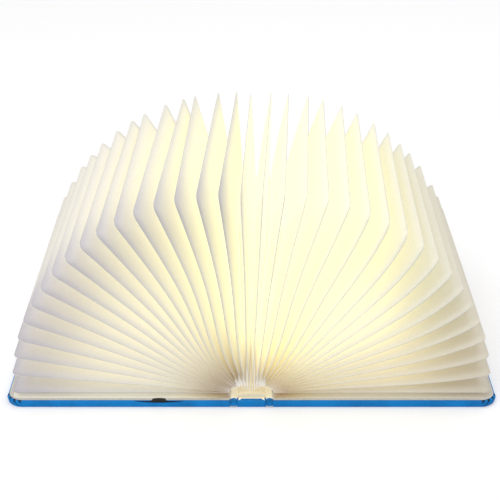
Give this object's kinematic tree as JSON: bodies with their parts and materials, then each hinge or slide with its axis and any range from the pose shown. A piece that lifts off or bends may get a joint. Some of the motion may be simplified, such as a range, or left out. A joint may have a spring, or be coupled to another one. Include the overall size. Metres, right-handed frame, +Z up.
{
  "type": "folding book lamp",
  "caption": "Table lamp shaped as a cloth-covered book that opens flat into a glowing half-round fan of pleated paper pages.",
  "frame": {"origin": "on the table, under the middle of the spine, with the book opened flat", "axes": "+Z up, X across the opened covers, Y along the spine, with the charging socket at -Y in the left (-X) cover"},
  "size_m": [0.356, 0.216, 0.1671],
  "materials": {
    "page_paper": "spun-bonded paper, matt, slightly translucent",
    "fold_paper": "spun-bonded paper lit warm from within",
    "cover_cloth": "coated book cloth, bright blue, fine weave, satin",
    "board": "grey board",
    "housing": "moulded white",
    "diffuser": "milky, glowing warm white",
    "led_metal": "bare strip with white solder mask",
    "led_phosphor": "yellow phosphor, lit",
    "steel": "zinc-plated",
    "magnet": "nickel-plated neodymium",
    "cell": "foil pouch of a lithium cell",
    "circuit": "green solder mask",
    "socket_metal": "tinned shell",
    "bezel": "moulded black",
    "ribbon": "flat flexible cable, white"
  },
  "bodies": {
    "spine": {"spine_board": "board", "spine_cloth": "cover_cloth", "led_housing": "housing", "housing_end_caps": "housing", "housing_screws": "steel", "led_strip": "led_metal", "led_chips": "led_phosphor", "diffuser": "diffuser", "ribbon_cable": "ribbon", "left_bellows": "fold_paper", "right_bellows": "fold_paper"},
    "left_cover": {"left_cover_board": "board", "left_cover_cloth": "cover_cloth", "left_end_leaf": "page_paper", "left_magnets": "magnet", "battery": "cell", "charge_board": "circuit", "charge_socket": "socket_metal", "socket_bezel": "bezel"},
    "right_cover": {"right_cover_board": "board", "right_cover_cloth": "cover_cloth", "right_end_leaf": "page_paper", "right_magnets": "magnet"},
    "left_page_1": {"left_page_1": "page_paper"},
    "left_page_2": {"left_page_2": "page_paper"},
    "left_page_3": {"left_page_3": "page_paper"},
    "left_page_4": {"left_page_4": "page_paper"},
    "left_page_5": {"left_page_5": "page_paper"},
    "left_page_6": {"left_page_6": "page_paper"},
    "left_page_7": {"left_page_7": "page_paper"},
    "left_page_8": {"left_page_8": "page_paper"},
    "left_page_9": {"left_page_9": "page_paper"},
    "left_page_10": {"left_page_10": "page_paper"},
    "left_page_11": {"left_page_11": "page_paper"},
    "left_page_12": {"left_page_12": "page_paper"},
    "left_page_13": {"left_page_13": "page_paper"},
    "left_page_14": {"left_page_14": "page_paper"},
    "left_page_15": {"left_page_15": "page_paper"},
    "left_page_16": {"left_page_16": "page_paper"},
    "left_page_17": {"left_page_17": "page_paper"},
    "left_page_18": {"left_page_18": "page_paper"},
    "right_page_1": {"right_page_1": "page_paper"},
    "right_page_2": {"right_page_2": "page_paper"},
    "right_page_3": {"right_page_3": "page_paper"},
    "right_page_4": {"right_page_4": "page_paper"},
    "right_page_5": {"right_page_5": "page_paper"},
    "right_page_6": {"right_page_6": "page_paper"},
    "right_page_7": {"right_page_7": "page_paper"},
    "right_page_8": {"right_page_8": "page_paper"},
    "right_page_9": {"right_page_9": "page_paper"},
    "right_page_10": {"right_page_10": "page_paper"},
    "right_page_11": {"right_page_11": "page_paper"},
    "right_page_12": {"right_page_12": "page_paper"},
    "right_page_13": {"right_page_13": "page_paper"},
    "right_page_14": {"right_page_14": "page_paper"},
    "right_page_15": {"right_page_15": "page_paper"},
    "right_page_16": {"right_page_16": "page_paper"},
    "right_page_17": {"right_page_17": "page_paper"},
    "right_page_18": {"right_page_18": "page_paper"}
  },
  "joints": [
    {"name": "left_cover_hinge", "type": "hinge", "parent": "spine", "child": "left_cover", "pos_m": [-0.0135, 0, 0.0024], "axis": [0, 1, 0], "range_deg": [-90, 90], "deforming": ["left_bellows", "ribbon_cable"]},
    {"name": "right_cover_hinge", "type": "hinge", "parent": "spine", "child": "right_cover", "pos_m": [0.0135, 0, 0.0024], "axis": [0, -1, 0], "range_deg": [-90, 90], "deforming": ["right_bellows"]},
    {"name": "left_page_1_turn", "type": "hinge", "parent": "spine", "child": "left_page_1", "pos_m": [-0.0135, 0, 0.0066], "axis": [0, 1, 0], "range_deg": [-2.57, 2.57]},
    {"name": "left_page_2_turn", "type": "hinge", "parent": "spine", "child": "left_page_2", "pos_m": [-0.0135, 0, 0.0066], "axis": [0, 1, 0], "range_deg": [-7.71, 7.71]},
    {"name": "left_page_3_turn", "type": "hinge", "parent": "spine", "child": "left_page_3", "pos_m": [-0.0135, 0, 0.0066], "axis": [0, 1, 0], "range_deg": [-12.86, 12.86]},
    {"name": "left_page_4_turn", "type": "hinge", "parent": "spine", "child": "left_page_4", "pos_m": [-0.0135, 0, 0.0066], "axis": [0, 1, 0], "range_deg": [-18, 18]},
    {"name": "left_page_5_turn", "type": "hinge", "parent": "spine", "child": "left_page_5", "pos_m": [-0.0135, 0, 0.0066], "axis": [0, 1, 0], "range_deg": [-23.14, 23.14]},
    {"name": "left_page_6_turn", "type": "hinge", "parent": "spine", "child": "left_page_6", "pos_m": [-0.0135, 0, 0.0066], "axis": [0, 1, 0], "range_deg": [-28.29, 28.29]},
    {"name": "left_page_7_turn", "type": "hinge", "parent": "spine", "child": "left_page_7", "pos_m": [-0.0135, 0, 0.0066], "axis": [0, 1, 0], "range_deg": [-33.43, 33.43]},
    {"name": "left_page_8_turn", "type": "hinge", "parent": "spine", "child": "left_page_8", "pos_m": [-0.0135, 0, 0.0066], "axis": [0, 1, 0], "range_deg": [-38.57, 38.57]},
    {"name": "left_page_9_turn", "type": "hinge", "parent": "spine", "child": "left_page_9", "pos_m": [-0.0135, 0, 0.0066], "axis": [0, 1, 0], "range_deg": [-43.72, 43.72]},
    {"name": "left_page_10_turn", "type": "hinge", "parent": "spine", "child": "left_page_10", "pos_m": [-0.0135, 0, 0.0066], "axis": [0, 1, 0], "range_deg": [-48.86, 48.86]},
    {"name": "left_page_11_turn", "type": "hinge", "parent": "spine", "child": "left_page_11", "pos_m": [-0.0135, 0, 0.0066], "axis": [0, 1, 0], "range_deg": [-54, 54]},
    {"name": "left_page_12_turn", "type": "hinge", "parent": "spine", "child": "left_page_12", "pos_m": [-0.0135, 0, 0.0066], "axis": [0, 1, 0], "range_deg": [-59.14, 59.14]},
    {"name": "left_page_13_turn", "type": "hinge", "parent": "spine", "child": "left_page_13", "pos_m": [-0.0135, 0, 0.0066], "axis": [0, 1, 0], "range_deg": [-64.29, 64.29]},
    {"name": "left_page_14_turn", "type": "hinge", "parent": "spine", "child": "left_page_14", "pos_m": [-0.0135, 0, 0.0066], "axis": [0, 1, 0], "range_deg": [-69.43, 69.43]},
    {"name": "left_page_15_turn", "type": "hinge", "parent": "spine", "child": "left_page_15", "pos_m": [-0.0135, 0, 0.0066], "axis": [0, 1, 0], "range_deg": [-74.57, 74.57]},
    {"name": "left_page_16_turn", "type": "hinge", "parent": "spine", "child": "left_page_16", "pos_m": [-0.0135, 0, 0.0066], "axis": [0, 1, 0], "range_deg": [-79.72, 79.72]},
    {"name": "left_page_17_turn", "type": "hinge", "parent": "spine", "child": "left_page_17", "pos_m": [-0.0135, 0, 0.0066], "axis": [0, 1, 0], "range_deg": [-84.86, 84.86]},
    {"name": "left_page_18_turn", "type": "hinge", "parent": "spine", "child": "left_page_18", "pos_m": [-0.0135, 0, 0.0066], "axis": [0, 1, 0], "range_deg": [-90, 90]},
    {"name": "right_page_1_turn", "type": "hinge", "parent": "spine", "child": "right_page_1", "pos_m": [0.0135, 0, 0.0066], "axis": [0, -1, 0], "range_deg": [-2.57, 2.57]},
    {"name": "right_page_2_turn", "type": "hinge", "parent": "spine", "child": "right_page_2", "pos_m": [0.0135, 0, 0.0066], "axis": [0, -1, 0], "range_deg": [-7.71, 7.71]},
    {"name": "right_page_3_turn", "type": "hinge", "parent": "spine", "child": "right_page_3", "pos_m": [0.0135, 0, 0.0066], "axis": [0, -1, 0], "range_deg": [-12.86, 12.86]},
    {"name": "right_page_4_turn", "type": "hinge", "parent": "spine", "child": "right_page_4", "pos_m": [0.0135, 0, 0.0066], "axis": [0, -1, 0], "range_deg": [-18, 18]},
    {"name": "right_page_5_turn", "type": "hinge", "parent": "spine", "child": "right_page_5", "pos_m": [0.0135, 0, 0.0066], "axis": [0, -1, 0], "range_deg": [-23.14, 23.14]},
    {"name": "right_page_6_turn", "type": "hinge", "parent": "spine", "child": "right_page_6", "pos_m": [0.0135, 0, 0.0066], "axis": [0, -1, 0], "range_deg": [-28.29, 28.29]},
    {"name": "right_page_7_turn", "type": "hinge", "parent": "spine", "child": "right_page_7", "pos_m": [0.0135, 0, 0.0066], "axis": [0, -1, 0], "range_deg": [-33.43, 33.43]},
    {"name": "right_page_8_turn", "type": "hinge", "parent": "spine", "child": "right_page_8", "pos_m": [0.0135, 0, 0.0066], "axis": [0, -1, 0], "range_deg": [-38.57, 38.57]},
    {"name": "right_page_9_turn", "type": "hinge", "parent": "spine", "child": "right_page_9", "pos_m": [0.0135, 0, 0.0066], "axis": [0, -1, 0], "range_deg": [-43.72, 43.72]},
    {"name": "right_page_10_turn", "type": "hinge", "parent": "spine", "child": "right_page_10", "pos_m": [0.0135, 0, 0.0066], "axis": [0, -1, 0], "range_deg": [-48.86, 48.86]},
    {"name": "right_page_11_turn", "type": "hinge", "parent": "spine", "child": "right_page_11", "pos_m": [0.0135, 0, 0.0066], "axis": [0, -1, 0], "range_deg": [-54, 54]},
    {"name": "right_page_12_turn", "type": "hinge", "parent": "spine", "child": "right_page_12", "pos_m": [0.0135, 0, 0.0066], "axis": [0, -1, 0], "range_deg": [-59.14, 59.14]},
    {"name": "right_page_13_turn", "type": "hinge", "parent": "spine", "child": "right_page_13", "pos_m": [0.0135, 0, 0.0066], "axis": [0, -1, 0], "range_deg": [-64.29, 64.29]},
    {"name": "right_page_14_turn", "type": "hinge", "parent": "spine", "child": "right_page_14", "pos_m": [0.0135, 0, 0.0066], "axis": [0, -1, 0], "range_deg": [-69.43, 69.43]},
    {"name": "right_page_15_turn", "type": "hinge", "parent": "spine", "child": "right_page_15", "pos_m": [0.0135, 0, 0.0066], "axis": [0, -1, 0], "range_deg": [-74.57, 74.57]},
    {"name": "right_page_16_turn", "type": "hinge", "parent": "spine", "child": "right_page_16", "pos_m": [0.0135, 0, 0.0066], "axis": [0, -1, 0], "range_deg": [-79.72, 79.72]},
    {"name": "right_page_17_turn", "type": "hinge", "parent": "spine", "child": "right_page_17", "pos_m": [0.0135, 0, 0.0066], "axis": [0, -1, 0], "range_deg": [-84.86, 84.86]},
    {"name": "right_page_18_turn", "type": "hinge", "parent": "spine", "child": "right_page_18", "pos_m": [0.0135, 0, 0.0066], "axis": [0, -1, 0], "range_deg": [-90, 90]}
  ],
  "couplings": [
    {"joint": "left_page_1_turn", "follows": "left_cover_hinge", "ratio": 0.028571},
    {"joint": "left_page_2_turn", "follows": "left_cover_hinge", "ratio": 0.085714},
    {"joint": "left_page_3_turn", "follows": "left_cover_hinge", "ratio": 0.14286},
    {"joint": "left_page_4_turn", "follows": "left_cover_hinge", "ratio": 0.2},
    {"joint": "left_page_5_turn", "follows": "left_cover_hinge", "ratio": 0.25714},
    {"joint": "left_page_6_turn", "follows": "left_cover_hinge", "ratio": 0.31429},
    {"joint": "left_page_7_turn", "follows": "left_cover_hinge", "ratio": 0.37143},
    {"joint": "left_page_8_turn", "follows": "left_cover_hinge", "ratio": 0.42857},
    {"joint": "left_page_9_turn", "follows": "left_cover_hinge", "ratio": 0.48571},
    {"joint": "left_page_10_turn", "follows": "left_cover_hinge", "ratio": 0.54286},
    {"joint": "left_page_11_turn", "follows": "left_cover_hinge", "ratio": 0.6},
    {"joint": "left_page_12_turn", "follows": "left_cover_hinge", "ratio": 0.65714},
    {"joint": "left_page_13_turn", "follows": "left_cover_hinge", "ratio": 0.71429},
    {"joint": "left_page_14_turn", "follows": "left_cover_hinge", "ratio": 0.77143},
    {"joint": "left_page_15_turn", "follows": "left_cover_hinge", "ratio": 0.82857},
    {"joint": "left_page_16_turn", "follows": "left_cover_hinge", "ratio": 0.88571},
    {"joint": "left_page_17_turn", "follows": "left_cover_hinge", "ratio": 0.94286},
    {"joint": "left_page_18_turn", "follows": "left_cover_hinge", "ratio": 1},
    {"joint": "right_page_1_turn", "follows": "right_cover_hinge", "ratio": 0.028571},
    {"joint": "right_page_2_turn", "follows": "right_cover_hinge", "ratio": 0.085714},
    {"joint": "right_page_3_turn", "follows": "right_cover_hinge", "ratio": 0.14286},
    {"joint": "right_page_4_turn", "follows": "right_cover_hinge", "ratio": 0.2},
    {"joint": "right_page_5_turn", "follows": "right_cover_hinge", "ratio": 0.25714},
    {"joint": "right_page_6_turn", "follows": "right_cover_hinge", "ratio": 0.31429},
    {"joint": "right_page_7_turn", "follows": "right_cover_hinge", "ratio": 0.37143},
    {"joint": "right_page_8_turn", "follows": "right_cover_hinge", "ratio": 0.42857},
    {"joint": "right_page_9_turn", "follows": "right_cover_hinge", "ratio": 0.48571},
    {"joint": "right_page_10_turn", "follows": "right_cover_hinge", "ratio": 0.54286},
    {"joint": "right_page_11_turn", "follows": "right_cover_hinge", "ratio": 0.6},
    {"joint": "right_page_12_turn", "follows": "right_cover_hinge", "ratio": 0.65714},
    {"joint": "right_page_13_turn", "follows": "right_cover_hinge", "ratio": 0.71429},
    {"joint": "right_page_14_turn", "follows": "right_cover_hinge", "ratio": 0.77143},
    {"joint": "right_page_15_turn", "follows": "right_cover_hinge", "ratio": 0.82857},
    {"joint": "right_page_16_turn", "follows": "right_cover_hinge", "ratio": 0.88571},
    {"joint": "right_page_17_turn", "follows": "right_cover_hinge", "ratio": 0.94286},
    {"joint": "right_page_18_turn", "follows": "right_cover_hinge", "ratio": 1}
  ]
}
